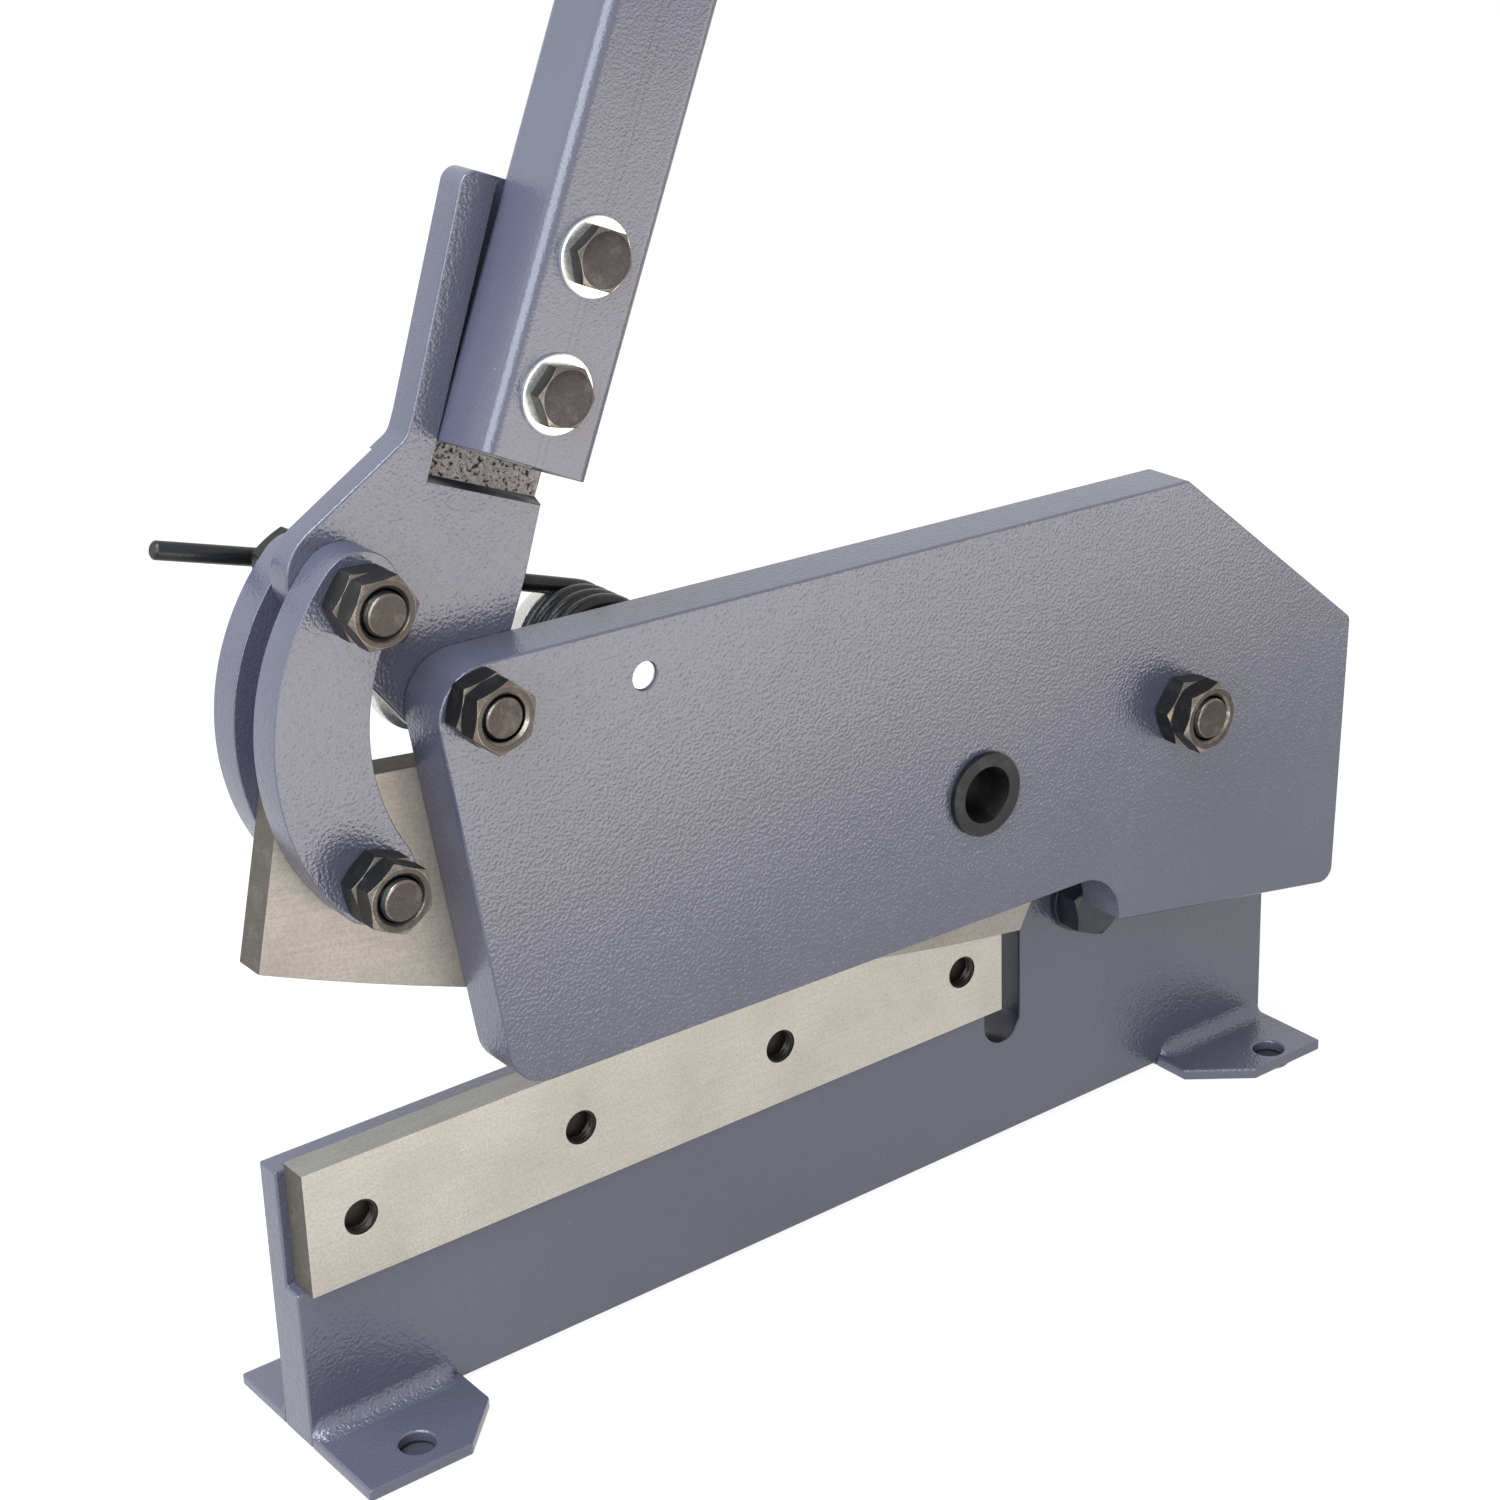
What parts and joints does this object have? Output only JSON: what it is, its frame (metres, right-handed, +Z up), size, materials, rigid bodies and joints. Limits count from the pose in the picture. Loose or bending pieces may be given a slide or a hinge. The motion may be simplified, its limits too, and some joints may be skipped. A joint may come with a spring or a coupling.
{
  "type": "hand lever shear",
  "caption": "Bench-mounted hand lever shear for sheet and round bar: straight lower blade, curved moving blade on a toggle linkage, thick cheek plate and tube handle.",
  "frame": {"origin": "centre of the four foot bolt holes, on the floor under the feet", "axes": "+X to the right along the blades seen from the cheek side, +Y away from the viewer (cheek side is -Y), +Z up"},
  "size_m": [0.4698, 0.1025, 0.8616],
  "materials": {
    "grey_paint": "satin hammered paint",
    "ground_steel": "ground",
    "black_steel": "blackened",
    "zinc_steel": "zinc plated",
    "black_cap": "matte"
  },
  "bodies": {
    "frame": {"base_web": "grey_paint", "left_front_foot": "grey_paint", "left_rear_foot": "grey_paint", "right_front_foot": "grey_paint", "right_rear_foot": "grey_paint", "foot_welds": "grey_paint", "lower_blade": "ground_steel", "lower_blade_screws": "black_steel", "cheek": "grey_paint", "cheek_spacer": "grey_paint", "front_bush": "black_steel", "lever_pivot_bolt": "black_steel", "lever_pivot_nuts": "black_steel", "lever_collar": "zinc_steel", "lever_washer": "zinc_steel", "blade_pivot_bolt": "black_steel", "blade_pivot_nuts": "black_steel", "blade_pivot_collar": "zinc_steel", "stop_bolt": "black_steel", "stop_bolt_washer": "zinc_steel", "spring_pin": "zinc_steel", "spring_bush": "zinc_steel", "spring_coil": "black_steel"},
    "lever": {"lever_plate": "grey_paint", "handle_tube": "grey_paint", "handle_cap": "black_cap", "handle_bolts": "black_steel", "handle_washers": "zinc_steel", "handle_nuts": "black_steel", "upper_link_bolt": "black_steel", "upper_link_nuts": "black_steel"},
    "links": {"front_link": "grey_paint", "rear_link": "grey_paint", "lower_link_bolt": "black_steel", "lower_link_stub": "black_steel", "lower_link_nuts": "black_steel"},
    "blade": {"moving_blade": "ground_steel", "blade_bush": "black_steel", "lower_link_pin": "ground_steel"},
    "spring_arm": {"spring_leg": "black_steel"}
  },
  "joints": [
    {"name": "lever_swing", "type": "hinge", "parent": "frame", "child": "lever", "pos_m": [-0.16795, -0.017, 0.262], "axis": [0, -1, 0], "range_deg": [0, 94], "stiffness_Nm_per_rad": 7},
    {"name": "blade_swing", "type": "hinge", "parent": "frame", "child": "blade", "pos_m": [0.13475, -0.017, 0.178], "axis": [0, -1, 0], "range_deg": [0, 13]},
    {"name": "link_swing", "type": "hinge", "parent": "lever", "child": "links", "pos_m": [-0.20175, -0.017, 0.302], "axis": [0, -1, 0], "range_deg": [-91, 0]},
    {"name": "spring_turn", "type": "hinge", "parent": "frame", "child": "spring_arm", "pos_m": [-0.10495, -0.0015, 0.254], "axis": [0, -1, 0], "range_deg": [0, 43]}
  ],
  "couplings": [
    {"joint": "blade_swing", "follows": "lever_swing", "ratio": 0.1373},
    {"joint": "link_swing", "follows": "lever_swing", "ratio": -0.967},
    {"joint": "spring_turn", "follows": "lever_swing", "ratio": 0.4521}
  ]
}
